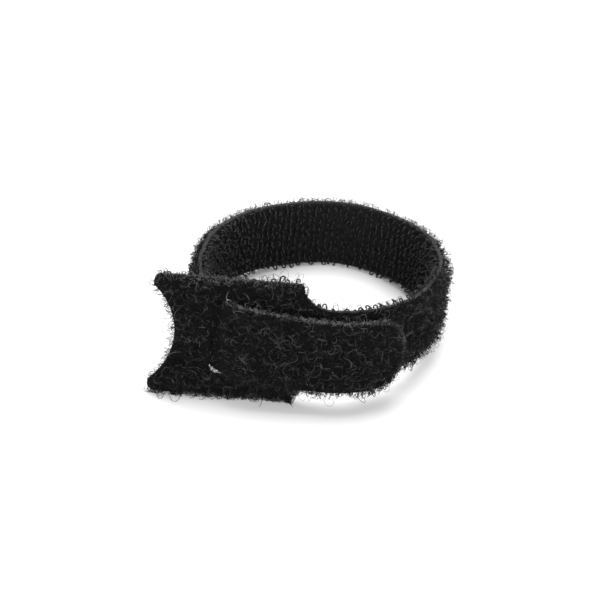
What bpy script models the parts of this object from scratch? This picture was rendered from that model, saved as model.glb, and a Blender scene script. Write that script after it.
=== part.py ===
"""Hook and loop cable tie, closed into a ring and standing on its edge.

One woven tape is laid out along a route seen from above: the wide head at the front left, the
strap round the ring to the right, then through the head's slot from behind, and the tail over
the head and the neck. The inner face carries rows of hooks and the outer face a pile of loops.
Metres, +Z up.
"""

import math

import bmesh
import bpy
from mathutils import Matrix, Vector
from mathutils.geometry import interpolate_bezier

# Outline of the tape, laid flat.
STRAP_WIDTH = 0.012
HEAD_WIDTH = 0.020
HEAD_LENGTH = 0.0224
HEAD_CORNER_RADIUS = 0.0013
NOTCH_RADIUS = 0.011
NOTCH_DEPTH = 0.0036
SHOULDER_LENGTH = 0.0050
TAIL_LENGTH = 0.0300

# Layers of the tape.
GROUND_THICKNESS = 0.0007
HOOK_HEIGHT = 0.0006
HOOK_VALLEY = 0.00025
LOOP_HEIGHT = 0.0007
LOOP_EDGE_HEIGHT = 0.0004
HOOK_EDGE_INSET = 0.0004
LOOP_EDGE_INSET = 0.0006
LOOP_CROWN_INSET = 0.0024
HOOK_PITCH = 0.00125

# Slot in the head, and how the strap goes through it.
SLOT_FROM_END = 0.0108
SLOT_SIDE_CLEARANCE = 0.0004
SLOT_END_CLEARANCE = 0.0003
SLOT_CORNER_RADIUS = 0.0010
LAY_CLEARANCE = 0.0003
THREADING_ANGLE = math.radians(50)
SLOT_RISE = 0.0004
TAIL_DROP = 0.0008

# Route of the ground fabric, seen from above. The head and the start of the neck lie along X.
# Its points are shares of these two sizes.
RING_WIDTH = 0.040
RING_DEPTH = 0.050
SLOT_PLACE = (-0.3125, -0.356)
NECK_PLACE = (0.105, -0.356)
RING_PLACES = (
    (0.3625, -0.266),
    (0.5250, -0.076),
    (0.5900, 0.140),
    (0.5125, 0.396),
    (0.2200, 0.548),
    (-0.1300, 0.444),
    (-0.3300, 0.240),
    (-0.4075, 0.004),
    (-0.4025, -0.188),
)

# How finely curves are divided.
ROUTE_STEP = 0.00025
ROUND_STEPS = 8
SHORTEST_STATION = 0.00018

# Finish, read from the tape's mid tone.
TAPE_COLOUR = (0.011, 0.011, 0.012, 1.0)
TAPE_ROUGHNESS = 0.85

INNER_REACH = GROUND_THICKNESS / 2 + HOOK_HEIGHT
OUTER_REACH = GROUND_THICKNESS / 2 + LOOP_HEIGHT
LAYER_PITCH = INNER_REACH + OUTER_REACH + LAY_CLEARANCE
SLOT_POINT = Vector((SLOT_PLACE[0] * RING_WIDTH, SLOT_PLACE[1] * RING_DEPTH))
NECK_POINT = Vector((NECK_PLACE[0] * RING_WIDTH, NECK_PLACE[1] * RING_DEPTH))
RING_POINTS = [Vector((x * RING_WIDTH, y * RING_DEPTH)) for x, y in RING_PLACES]


class Route:
    """A plan curve as closely spaced points, read by the distance along it."""

    def __init__(self, points):
        self.points = points
        self.distances = [0.0]
        for before, after in zip(points, points[1:]):
            self.distances.append(self.distances[-1] + (after - before).length)

    @property
    def length(self):
        return self.distances[-1]

    def at(self, distance):
        """The point there and the outward normal, which is to the right of the way along."""
        low, high = 0, len(self.points) - 1
        while high - low > 1:
            middle = (low + high) // 2
            if self.distances[middle] <= distance:
                low = middle
            else:
                high = middle
        span = self.distances[high] - self.distances[low]
        share = (distance - self.distances[low]) / span
        point = self.points[low].lerp(self.points[high], share)
        ahead = self.heading(high)
        behind = self.heading(low)
        way = behind.lerp(ahead, share).normalized()
        return point, Vector((way.y, -way.x))

    def heading(self, index):
        before = self.points[max(index - 1, 0)]
        after = self.points[min(index + 1, len(self.points) - 1)]
        return (after - before).normalized()


def straight(start, end):
    count = max(1, round((end - start).length / ROUTE_STEP))
    return [start.lerp(end, i / count) for i in range(count)]


def ring_curve():
    """Bezier stretches from the neck round to the slot, each handle a third of its stretch."""
    knots = [NECK_POINT, *RING_POINTS, SLOT_POINT]
    ways = [Vector((1, 0))]
    ways += [(b - a).normalized() for a, b in zip(knots, knots[2:])]
    ways.append(Vector((math.cos(THREADING_ANGLE), -math.sin(THREADING_ANGLE))))
    points = []
    for i, (start, end) in enumerate(zip(knots, knots[1:])):
        reach = (end - start).length / 3
        handles = (start + ways[i] * reach, end - ways[i + 1] * reach)
        count = max(4, round(3 * reach / ROUTE_STEP))
        corners = [corner.to_3d() for corner in (start, *handles, end)]
        stretch = interpolate_bezier(*corners, count + 1)
        points += [point.to_2d() for point in stretch[:-1]]
    return points


def threading_bend():
    """The bend that lays the strap down on the outside of the head, one layer away from it."""
    radius = LAYER_PITCH / (1 - math.cos(THREADING_ANGLE))
    lowest = SLOT_POINT + Vector((math.sin(THREADING_ANGLE) * radius, -LAYER_PITCH))
    centre = lowest + Vector((0, radius))
    count = max(4, round(radius * THREADING_ANGLE / ROUTE_STEP))
    angles = [THREADING_ANGLE * (1 - i / count) for i in range(count)]
    return [centre - radius * Vector((math.sin(a), math.cos(a))) for a in angles], lowest


def tape_route():
    """The whole route from the head's end to the tail's tip, and the distance of the slot along it."""
    head_end = SLOT_POINT - Vector((SLOT_FROM_END, 0))
    first_turn = straight(head_end, NECK_POINT) + ring_curve()
    under = Route(first_turn + [SLOT_POINT])
    bend, laid_down = threading_bend()
    bent = Route(first_turn + bend + [laid_down])
    tail = []
    along = laid_down.x - head_end.x
    while bent.length + sum_of_steps(tail, laid_down) < under.length + TAIL_LENGTH:
        point, outward = under.at(along)
        tail.append(point + outward * LAYER_PITCH)
        along += ROUTE_STEP
    return Route(first_turn + bend + tail), under.length


def sum_of_steps(points, start):
    """The length of the way from start through points."""
    stops = [start, *points]
    return sum((after - before).length for before, after in zip(stops, stops[1:]))


def half_width(distance, length):
    """Half the tape's width at a distance from the head's end, on a tape of this length."""
    head, strap = HEAD_WIDTH / 2, STRAP_WIDTH / 2
    if distance < HEAD_CORNER_RADIUS:
        inside = HEAD_CORNER_RADIUS - distance
        return head - HEAD_CORNER_RADIUS + math.sqrt(HEAD_CORNER_RADIUS**2 - inside**2)
    if distance <= HEAD_LENGTH:
        return head
    if distance < HEAD_LENGTH + SHOULDER_LENGTH:
        left = 1 - (distance - HEAD_LENGTH) / SHOULDER_LENGTH
        return strap + (head - strap) * (1 - math.sqrt(1 - left**2))
    from_tip_centre = distance - (length - strap)
    if from_tip_centre > 0:
        return math.sqrt(max(strap**2 - from_tip_centre**2, 0.0))
    return strap


def stations(length):
    """Distances of the cross-sections: every hook ridge and valley, and closer where the outline turns."""
    angles = [math.pi / 2 * i / ROUND_STEPS for i in range(ROUND_STEPS + 1)]
    strap = STRAP_WIDTH / 2
    chosen = [HEAD_CORNER_RADIUS * (1 - math.cos(a)) for a in angles]
    chosen += [HEAD_LENGTH + SHOULDER_LENGTH * (1 - math.cos(a)) for a in angles]
    chosen += [length - strap + strap * math.sin(a) for a in angles[:-1]]
    half_pitches = int(length / (HOOK_PITCH / 2))
    for i in range(1, half_pitches):
        distance = i * HOOK_PITCH / 2
        if min(abs(distance - other) for other in chosen) > SHORTEST_STATION:
            chosen.append(distance)
    return sorted(chosen)


def hook_reach(distance):
    """How far the inner face stands from the ground's middle: a ridge of hooks at each pitch."""
    share = distance / HOOK_PITCH % 1.0
    ridge = abs(2 * share - 1)
    return GROUND_THICKNESS / 2 + HOOK_VALLEY + (HOOK_HEIGHT - HOOK_VALLEY) * ridge


def section(distance, length):
    """The tape's cross-section as pairs of height and distance outward, closed, bottom edge first."""
    half = half_width(distance, length)
    ground = GROUND_THICKNESS / 2
    hooks = half - min(HOOK_EDGE_INSET, 0.3 * half)
    pile = half - min(LOOP_EDGE_INSET, 0.3 * half)
    crown = half - min(LOOP_CROWN_INSET, 0.6 * half)
    shoulder = ground + LOOP_EDGE_HEIGHT
    inner = -hook_reach(distance)
    return (
        (-half, -ground),
        (-half, ground),
        (-pile, shoulder),
        (-crown, OUTER_REACH),
        (crown, OUTER_REACH),
        (pile, shoulder),
        (half, ground),
        (half, -ground),
        (hooks, inner),
        (-hooks, inner),
    )


def loft(name, rings):
    """A closed body through equal rings of points, with a flat cap at each end."""
    body = bmesh.new()
    rows = [[body.verts.new(point) for point in ring] for ring in rings]
    for row, after in zip(rows, rows[1:]):
        for i, corner in enumerate(row):
            beside = (i + 1) % len(row)
            body.faces.new((corner, row[beside], after[beside], after[i]))
    body.faces.new(rows[0])
    body.faces.new(rows[-1])
    bmesh.ops.recalc_face_normals(body, faces=body.faces)
    mesh = bpy.data.meshes.new(name)
    body.to_mesh(mesh)
    body.free()
    return mesh


def flat_tape(length):
    """The tape laid flat: X along it from the head's end, Y inward through it, Z across it."""
    rings = []
    for distance in stations(length):
        ring = [(distance, -reach, height) for height, reach in section(distance, length)]
        rings.append(ring)
    return loft("strap", rings)


def slot_span(route, slot_distance):
    """Where along the head the slot starts and ends: all that the strap would touch on its way through."""
    reach = SLOT_FROM_END
    passing = [
        point
        for point, distance in zip(route.points, route.distances)
        if abs(distance - slot_distance) < reach
    ]
    touched = []
    count = round(2 * reach / ROUTE_STEP)
    for i in range(count):
        along = reach * (2 * i / count - 1)
        spot = SLOT_POINT + Vector((along, 0))
        if min((spot - other).length for other in passing) < LAYER_PITCH - LAY_CLEARANCE / 8:
            touched.append(SLOT_FROM_END + along)
    return touched[0] - SLOT_END_CLEARANCE, touched[-1] + SLOT_END_CLEARANCE


def slot_cutter(start, end):
    """A block with rounded corners, through the flat head."""
    bpy.ops.mesh.primitive_cube_add(size=1.0)
    cutter = bpy.context.object
    cutter.name = "slot_cutter"
    depth = 4 * (INNER_REACH + OUTER_REACH)
    height = STRAP_WIDTH + 2 * SLOT_SIDE_CLEARANCE
    size = Matrix.Diagonal((end - start, depth, height, 1.0))
    cutter.data.transform(Matrix.Translation(((start + end) / 2, 0, SLOT_RISE)) @ size)
    shape = bmesh.new()
    shape.from_mesh(cutter.data)
    through = [
        edge
        for edge in shape.edges
        if abs(edge.verts[0].co.y - edge.verts[1].co.y) > depth / 2
    ]
    bmesh.ops.bevel(
        shape,
        geom=through,
        offset=SLOT_CORNER_RADIUS,
        segments=4,
        profile=0.5,
        affect="EDGES",
    )
    shape.to_mesh(cutter.data)
    shape.free()
    return cutter


def notch_cutter():
    """A drum across the end of the flat head, which leaves it hollowed."""
    depth = 4 * (INNER_REACH + OUTER_REACH)
    bpy.ops.mesh.primitive_cylinder_add(vertices=72, radius=NOTCH_RADIUS, depth=depth)
    cutter = bpy.context.object
    cutter.name = "notch_cutter"
    upright = Matrix.Rotation(math.pi / 2, 4, "X")
    cutter.data.transform(Matrix.Translation((NOTCH_DEPTH - NOTCH_RADIUS, 0, 0)) @ upright)
    return cutter


def cut(target, cutter):
    """Takes the cutter out of the target, then removes the cutter."""
    difference = target.modifiers.new(cutter.name, "BOOLEAN")
    difference.operation = "DIFFERENCE"
    difference.solver = "EXACT"
    difference.object = cutter
    bpy.context.view_layer.objects.active = target
    bpy.ops.object.modifier_apply(modifier=difference.name)
    bpy.data.objects.remove(cutter)


def eased(share):
    """A smooth way from 0 to 1, level at both ends."""
    share = min(max(share, 0.0), 1.0)
    return share * share * (3 - 2 * share)


def rise(distance, length):
    """How far the tape stands above the head's own height: it climbs to the slot, then sinks to the tip."""
    neck_start = HEAD_LENGTH + SHOULDER_LENGTH
    slot_distance = length - TAIL_LENGTH
    climbed = eased((distance - neck_start) / (slot_distance - neck_start))
    sunk = eased((distance - slot_distance) / TAIL_LENGTH)
    return SLOT_RISE * climbed - (SLOT_RISE + TAIL_DROP) * sunk


def lay_along(mesh, route):
    """Bends the flat tape to its route, standing on edge."""
    for vertex in mesh.vertices:
        distance, inward, height = vertex.co
        point, outward = route.at(distance)
        place = point - outward * inward
        vertex.co = (place.x, place.y, height + rise(distance, route.length))


def tape_material():
    material = bpy.data.materials.new("black_nylon")
    material.use_nodes = True
    shader = material.node_tree.nodes["Principled BSDF"]
    shader.inputs["Base Color"].default_value = TAPE_COLOUR
    shader.inputs["Roughness"].default_value = TAPE_ROUGHNESS
    shader.inputs["Metallic"].default_value = 0.0
    return material


def centre_of_mass(mesh):
    """The centre of the closed mesh's volume, from the tetrahedra under its triangles."""
    mesh.calc_loop_triangles()
    volume, moment = 0.0, Vector()
    for triangle in mesh.loop_triangles:
        a, b, c = (mesh.vertices[i].co for i in triangle.vertices)
        share = a.dot(b.cross(c)) / 6
        volume += share
        moment += share * (a + b + c) / 4
    return moment / volume


def resting_matrix(mesh):
    """The pose in which the mesh stands: the facet of its hull under the centre of mass lies on z = 0."""
    centre = centre_of_mass(mesh)
    hull = bmesh.new()
    hull.from_mesh(mesh)
    found = bmesh.ops.convex_hull(hull, input=hull.verts)["geom"]
    facets = [item for item in found if isinstance(item, bmesh.types.BMFace)]
    best = min(facets, key=lambda facet: (not holds_up(facet, centre), facet.normal.z))
    turn = best.normal.rotation_difference(Vector((0, 0, -1))).to_matrix().to_4x4()
    hull.free()
    turned = [turn @ vertex.co for vertex in mesh.vertices]
    lows = [min(point[axis] for point in turned) for axis in range(3)]
    highs = [max(point[axis] for point in turned) for axis in range(3)]
    middle = Vector(((lows[0] + highs[0]) / 2, (lows[1] + highs[1]) / 2, lows[2]))
    return Matrix.Translation(-middle) @ turn


def holds_up(facet, centre):
    """Whether the foot of the centre of mass on the facet's plane lies inside the facet."""
    corners = [vertex.co for vertex in facet.verts]
    for corner, beside in zip(corners, corners[1:] + corners[:1]):
        if (beside - corner).cross(centre - corner).dot(facet.normal) < 0:
            return False
    return True


def build():
    for obj in list(bpy.data.objects):
        bpy.data.objects.remove(obj)
    home = bpy.data.collections.new("hook_and_loop_cable_tie")
    bpy.context.scene.collection.children.link(home)
    bpy.context.view_layer.active_layer_collection = (
        bpy.context.view_layer.layer_collection.children[home.name]
    )

    route, slot_distance = tape_route()
    strap = bpy.data.objects.new("strap", flat_tape(route.length))
    home.objects.link(strap)
    strap.data.materials.append(tape_material())
    cut(strap, slot_cutter(*slot_span(route, slot_distance)))
    cut(strap, notch_cutter())
    lay_along(strap.data, route)
    strap.matrix_world = resting_matrix(strap.data)


build()
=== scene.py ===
"""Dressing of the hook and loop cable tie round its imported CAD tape, for Blender 4.5.

The tape is a woven ground with two faces: rows of filament hooks inside the ring, and a brushed
pile of curly loops outside it. The ground is modelled flat, cut, and laid along the route that
the CAD tape follows. Hooks and pile fibres are then set on it, fibre by fibre. Metres, +Z up.
"""

import logging
import math
from collections.abc import Iterator
from contextlib import contextmanager
from dataclasses import dataclass, field
from enum import Enum

import bpy
import numpy as np
from mathutils import Matrix, Vector, noise
from mathutils.geometry import interpolate_bezier


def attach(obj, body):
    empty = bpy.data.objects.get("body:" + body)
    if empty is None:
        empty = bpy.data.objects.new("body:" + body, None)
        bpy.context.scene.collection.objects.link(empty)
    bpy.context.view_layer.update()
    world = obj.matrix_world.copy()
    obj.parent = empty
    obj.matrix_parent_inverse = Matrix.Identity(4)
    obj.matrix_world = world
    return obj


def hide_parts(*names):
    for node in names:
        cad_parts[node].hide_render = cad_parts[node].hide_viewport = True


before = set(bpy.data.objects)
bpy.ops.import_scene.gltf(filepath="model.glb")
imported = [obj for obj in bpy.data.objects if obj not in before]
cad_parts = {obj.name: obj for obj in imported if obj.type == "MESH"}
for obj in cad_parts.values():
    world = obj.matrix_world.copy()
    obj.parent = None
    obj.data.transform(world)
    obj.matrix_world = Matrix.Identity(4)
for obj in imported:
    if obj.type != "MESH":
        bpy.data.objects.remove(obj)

Array = np.ndarray
Mesh = bpy.types.Mesh
Object = bpy.types.Object
Socket = bpy.types.NodeSocket

LOG = logging.getLogger("cable_tie")
MM = 0.001
TURN = 2 * math.pi
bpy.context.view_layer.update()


# Shader nodes


class Value:
    """A number on a socket. Python's operators on it add the Math nodes that work it out."""

    def __init__(self, tree: bpy.types.NodeTree, socket: Socket) -> None:
        """Keeps the socket and the tree it belongs to."""
        self.tree = tree
        self.socket = socket

    def combined(self, operation: str, *terms: "Value | float") -> "Value":
        """Adds a Math node to this value's tree.

        Args:
            operation: What it does.
            terms: Its inputs, as values or plain numbers.

        Returns:
            Its result.
        """
        node = self.tree.nodes.new("ShaderNodeMath")
        node.operation = operation
        for socket, term in zip(node.inputs, terms):
            if isinstance(term, Value):
                self.tree.links.new(term.socket, socket)
            else:
                socket.default_value = term
        return Value(self.tree, node.outputs["Value"])

    def __add__(self, other: "Value | float") -> "Value":
        """The sum."""
        return self.combined("ADD", self, other)

    __radd__ = __add__

    def __mul__(self, other: "Value | float") -> "Value":
        """The product."""
        return self.combined("MULTIPLY", self, other)

    def __rsub__(self, other: float) -> "Value":
        """The difference, from a plain number."""
        return self.combined("SUBTRACT", other, self)

    def sine(self) -> "Value":
        """The sine of an angle in radians."""
        return self.combined("SINE", self)

    def larger(self, other: "Value | float") -> "Value":
        """The larger of two values."""
        return self.combined("MAXIMUM", self, other)

    def smaller(self, other: "Value | float") -> "Value":
        """The smaller of two values."""
        return self.combined("MINIMUM", self, other)

    def eased(self, low: float, high: float) -> "Value":
        """Goes from 0 at low to 1 at high, level at both ends.

        Args:
            low: Where it leaves 0.
            high: Where it reaches 1.

        Returns:
            The eased share.
        """
        node = self.tree.nodes.new("ShaderNodeMapRange")
        node.interpolation_type = "SMOOTHSTEP"
        node.inputs["From Min"].default_value = low
        node.inputs["From Max"].default_value = high
        self.tree.links.new(self.socket, node.inputs["Value"])
        return Value(self.tree, node.outputs["Result"])


class Shading:
    """A material's nodes, with one method that adds any node."""

    def __init__(self, name: str) -> None:
        """Starts a material that holds one Principled shader.

        Args:
            name: The material's name.
        """
        self.material = bpy.data.materials.new(name)
        self.material.use_nodes = True
        self.tree = self.material.node_tree
        self.shader = self.tree.nodes["Principled BSDF"]

    def node(self, kind: str, sockets: dict, **settings: object) -> bpy.types.Node:
        """Adds a node.

        Args:
            kind: The node's type.
            sockets: Its inputs by name or number, as values, links or plain numbers.
            settings: Its properties.

        Returns:
            The node.
        """
        node = self.tree.nodes.new(kind)
        for name, value in settings.items():
            setattr(node, name, value)
        for name, value in sockets.items():
            self.feed(node.inputs[name], value)
        return node

    def feed(self, socket: Socket, value: object) -> None:
        """Links a value or another socket to this one, or sets its plain number.

        Args:
            socket: The input.
            value: A Value, a socket, or what default_value takes.
        """
        if isinstance(value, Value):
            value = value.socket
        if isinstance(value, Socket):
            self.tree.links.new(value, socket)
        else:
            socket.default_value = value

    def tones(self, share: Value, *stops: tuple[float, tuple]) -> Socket:
        """A colour that follows a share from 0 to 1.

        Args:
            share: The share.
            stops: The place and the colour of each of the ramp's stops.

        Returns:
            The colour's socket.
        """
        node = self.node("ShaderNodeValToRGB", {"Fac": share})
        elements = node.color_ramp.elements
        while len(elements) < len(stops):
            elements.new(0.5)
        for element, (place, colour) in zip(elements, stops):
            element.position = place
            element.color = (*colour, 1.0)
        return node.outputs["Color"]

    def grain(self, where: Socket, scale: float, detail: float) -> Value:
        """Noise from 0 to 1.

        Args:
            where: The coordinates it reads.
            scale: Its scale.
            detail: Its octaves.

        Returns:
            The noise's value.
        """
        node = self.node(
            "ShaderNodeTexNoise", {"Vector": where, "Scale": scale, "Detail": detail}
        )
        return Value(self.tree, node.outputs["Fac"])

    def bumped(self, height: Value, strength: float, distance: float) -> Socket:
        """A normal from a height.

        Args:
            height: The height.
            strength: How strongly it shows.
            distance: The height of a step from 0 to 1, in metres.

        Returns:
            The normal's socket.
        """
        sockets = {"Strength": strength, "Distance": distance, "Height": height}
        return self.node("ShaderNodeBump", sockets).outputs["Normal"]

    def in_object(self) -> Socket:
        """The place in the object."""
        return self.node("ShaderNodeTexCoord", {}).outputs["Object"]

    def mapped(self, name: str) -> tuple[Socket, Value, Value]:
        """Reads a map.

        Args:
            name: The map's name.

        Returns:
            Its coordinates, then each of the two numbers in them.
        """
        place = self.node("ShaderNodeUVMap", {}, uv_map=name).outputs["UV"]
        apart = self.node("ShaderNodeSeparateXYZ", {"Vector": place}).outputs
        return place, Value(self.tree, apart["X"]), Value(self.tree, apart["Y"])

    def surface(self, **sockets: object) -> bpy.types.Material:
        """Sets the Principled shader's inputs.

        Args:
            sockets: The inputs by name, with an underscore for each space.

        Returns:
            The finished material.
        """
        for name, value in sockets.items():
            self.feed(self.shader.inputs[name.replace("_", " ")], value)
        return self.material


# Finishes


@dataclass(frozen=True)
class WovenGround:
    """The ground fabric: fine warp and weft of black yarn, lighter grey in a band along its edges.
    """

    warp_pitch: float = 0.42
    weft_pitch: float = 0.30
    fuzz_scale: float = 4.0
    patch_scale: float = 1.4
    dark: tuple = (0.0008, 0.0008, 0.0009)
    light: tuple = (0.0170, 0.0170, 0.0173)
    edge_dark: tuple = (0.010, 0.010, 0.0101)
    edge_light: tuple = (0.062, 0.062, 0.061)
    relief: float = 0.12 * MM

    def make(self) -> bpy.types.Material:
        """Builds the material. Its map holds the place along and across the tape in millimetres.

        Returns:
            The material.
        """
        s = Shading("woven_ground")
        place, along, across = s.mapped("tape_lay")
        edge = s.node("ShaderNodeAttribute", {}, attribute_name="edge_band").outputs["Fac"]
        warp = (across * (TURN / self.warp_pitch)).sine()
        weft = (along * (TURN / self.weft_pitch)).sine()
        over = (warp * weft) * 0.5 + 0.5
        fuzz = s.grain(place, self.fuzz_scale, 4.0)
        patches = s.grain(place, self.patch_scale, 3.0)
        worn = (over * 0.4 + fuzz * 0.4 + patches * 0.6).eased(0.50, 1.05)
        plain = s.tones(worn, (0.0, self.dark), (1.0, self.light))
        band = s.tones(fuzz.eased(0.3, 0.7), (0.0, self.edge_dark), (1.0, self.edge_light))
        mixed = s.node("ShaderNodeMix", {"Factor": edge}, data_type="RGBA")
        s.feed(mixed.inputs[6], plain)
        s.feed(mixed.inputs[7], band)
        return s.surface(
            Base_Color=mixed.outputs[2],
            Roughness=0.95 - worn * 0.2,
            Normal=s.bumped(over * 0.6 + fuzz * 0.7, 0.8, self.relief),
            Specular_IOR_Level=0.15,
        )


@dataclass(frozen=True)
class PileBed:
    """The matted bottom of the pile: near black, with short grey fibres lying in all directions."""

    dark: tuple = (0.0012, 0.0012, 0.0012)
    light: tuple = (0.0060, 0.0060, 0.0061)
    lays: tuple = ((0.4, 0.3, 0.0), (1.2, -0.5, 0.8), (-0.7, 0.9, 2.1))
    strand_scale: float = 1500.0
    clump_scale: float = 420.0
    relief: float = 0.10 * MM

    def make(self) -> bpy.types.Material:
        """Builds the material from stretched noise in several directions.

        Returns:
            The material.
        """
        s = Shading("pile_bed")
        where = s.in_object()
        clumps = s.grain(where, self.clump_scale, 3.0)
        layers = []
        for angles in self.lays:
            sockets = {"Vector": where, "Rotation": angles, "Scale": (1, 1, 5)}
            turned = s.node("ShaderNodeMapping", sockets).outputs["Vector"]
            layers.append(s.grain(turned, self.strand_scale, 2.0).eased(0.52, 0.72))
        strands = layers[0].larger(layers[1]).larger(layers[2])
        share = strands * clumps.eased(0.3, 0.75)
        return s.surface(
            Base_Color=s.tones(share, (0.0, self.dark), (1.0, self.light)),
            Roughness=0.98 - share * 0.3,
            Normal=s.bumped(strands + clumps, 1.0, self.relief),
            Specular_IOR_Level=0.15,
        )


@dataclass(frozen=True)
class NylonFibre:
    """A fine black nylon fibre, its tone differing at random; the ramp's light end is a painted
    highlight. Its map holds a number of its own and the share along it; by that share each fibre is
    painted lighter at its middle and darker at its ends, painted shade at the roots.
    """

    dark: tuple = (0.0012, 0.0012, 0.0012)
    middle: tuple = (0.0070, 0.0070, 0.0071)
    # The ramp's light end: a painted highlight that stands in for glints on lit fibres.
    light: tuple = (0.135, 0.135, 0.132)
    gloss: float = 0.42
    rough: float = 0.62

    def make(self) -> bpy.types.Material:
        """Builds the material.

        Returns:
            The material.
        """
        s = Shading("nylon_fibre")
        _, own, along = s.mapped("fibre")
        # Painted highlight at the fibre's middle and painted shade towards both ends, where it
        # sinks into the bed.
        crown_highlight_and_root_shade = (along * math.pi).sine()
        share = own * (0.55 + crown_highlight_and_root_shade * 0.45)
        return s.surface(
            Base_Color=s.tones(share, (0.0, self.dark), (0.62, self.middle), (1.0, self.light)),
            Roughness=self.rough - own * (self.rough - self.gloss),
            Specular_IOR_Level=0.17,
        )


@dataclass(frozen=True)
class HookFilament:
    """The thicker black filament of the hooks: smooth, and matt at its root."""

    dark: tuple = (0.0025, 0.0025, 0.0026)
    light: tuple = (0.016, 0.016, 0.0163)
    scuff_scale: float = 2600.0
    relief: float = 0.02 * MM

    def make(self) -> bpy.types.Material:
        """Builds the material.

        Returns:
            The material.
        """
        s = Shading("hook_filament")
        _, own, along = s.mapped("fibre")
        root = 1.0 - along.eased(0.0, 0.35)
        scuff = s.grain(s.in_object(), self.scuff_scale, 2.0)
        share = (own * 0.6 + scuff * 0.4).smaller(1.0)
        return s.surface(
            Base_Color=s.tones(share, (0.0, self.dark), (1.0, self.light)),
            Roughness=(0.32 + root * 0.5 + scuff * 0.12).smaller(1.0),
            Normal=s.bumped(scuff, 0.25, self.relief),
            Specular_IOR_Level=0.36,
        )


@dataclass(frozen=True)
class PaleFloor:
    """The studio's pale floor."""

    tone: tuple = (0.90, 0.90, 0.90)
    shade: tuple = (0.87, 0.87, 0.87)
    scale: float = 3.0

    def make(self) -> bpy.types.Material:
        """Builds the material.

        Returns:
            The material.
        """
        s = Shading("pale_floor")
        patches = s.grain(s.in_object(), self.scale, 2.0)
        return s.surface(
            Base_Color=s.tones(patches, (0.3, self.shade), (0.7, self.tone)),
            Roughness=0.95,
            Specular_IOR_Level=0.1,
        )


# The tape's cut and lay


def eased(share: Array) -> Array:
    """A smooth way from 0 to 1, level at both ends."""
    share = np.clip(share, 0.0, 1.0)
    return share * share * (3 - 2 * share)


@dataclass(frozen=True)
class TapeCut:
    """The tape as it is cut and laid flat, along from the head's end and across from its middle."""

    length: float
    tail: float
    strap_half: float = 6.0 * MM
    head_half: float = 10.0 * MM
    head_length: float = 22.4 * MM
    head_corner: float = 1.3 * MM
    notch_radius: float = 11.0 * MM
    notch_depth: float = 3.6 * MM
    shoulder: float = 5.0 * MM
    ground_half: float = 0.30 * MM
    bed_height: float = 0.42 * MM
    bed_slope: float = 0.50 * MM
    slot_start: float = 9.30 * MM
    slot_end: float = 12.35 * MM
    slot_half: float = 6.55 * MM
    slot_middle: float = 0.15 * MM
    slot_corner: float = 1.45 * MM
    slot_rise: float = 0.4 * MM
    tail_drop: float = 0.9 * MM
    tail_settles: float = 17.0 * MM

    @property
    def slot_distance(self) -> float:
        """Where the strap passes through the slot, along the tape."""
        return self.length - self.tail

    @property
    def tip_centre(self) -> float:
        """Where the middle of the round tip is, along the tape."""
        return self.length - self.strap_half

    @property
    def notch_centre(self) -> float:
        """Where the middle of the notch's circle is, before the tape's start."""
        return self.notch_depth - self.notch_radius

    def half_width(self, along: Array) -> Array:
        """Half the tape's width.

        Args:
            along: Places along the tape.

        Returns:
            Half the width at each.
        """
        inside = np.clip(self.head_corner - along, 0, self.head_corner)
        corner = self.head_half - self.head_corner + np.sqrt(self.head_corner**2 - inside**2)
        left = np.clip(1 - (along - self.head_length) / self.shoulder, 0, 1)
        sweep = self.head_half - self.strap_half
        neck = self.strap_half + sweep * (1 - np.sqrt(1 - left**2))
        past = np.clip(along - self.tip_centre, 0, self.strap_half)
        tip = np.sqrt(self.strap_half**2 - past**2)
        head = np.where(along < self.head_corner, corner, self.head_half)
        body = np.where(along <= self.head_length, head, neck)
        return np.where(past > 0, tip, body)

    def edge_room(self, along: Array, across: Array) -> Array:
        """How far a place is from the nearest edge, negative off the tape or in its slot."""
        sides = self.half_width(along) - np.abs(across)
        return np.minimum(sides, self.cut_room(along, across))

    def cut_room(self, along: Array, across: Array) -> Array:
        """How far a place is from the edges that were cut: tip, notch, end and slot.

        Args:
            along: Places along the tape.
            across: Places across it.

        Returns:
            The distance to the nearest of them, negative past it.
        """
        from_tip = self.strap_half - np.hypot(along - self.tip_centre, across)
        tip = np.where(along > self.tip_centre, from_tip, self.length)
        notch = np.hypot(along - self.notch_centre, across) - self.notch_radius
        middle = (self.slot_start + self.slot_end) / 2
        out_along = np.abs(along - middle) - (self.slot_end - self.slot_start) / 2
        out_across = np.abs(across - self.slot_middle) - self.slot_half
        slot = np.where(
            (out_along > 0) & (out_across > 0),
            np.hypot(out_along, out_across),
            np.maximum(out_along, out_across),
        )
        return np.minimum.reduce([tip, notch, along, slot])

    def rise(self, along: Array) -> Array:
        """How far the tape's middle stands above the head's.

        Args:
            along: Places along the tape.

        Returns:
            The height at each.
        """
        neck = self.head_length + self.shoulder
        climbed = eased((along - neck) / (self.slot_distance - neck))
        sunk = eased((along - self.slot_distance) / self.tail_settles)
        return self.slot_rise * climbed - (self.slot_rise + self.tail_drop) * sunk

    def bed(self, along: Array, across: Array) -> Array:
        """How far the pile's bed stands out from the ground's middle, less near the edges."""
        room = np.clip(self.edge_room(along, across), 0, None)
        return self.ground_half + self.bed_height * (1 - np.exp(-room / self.bed_slope))


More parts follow.
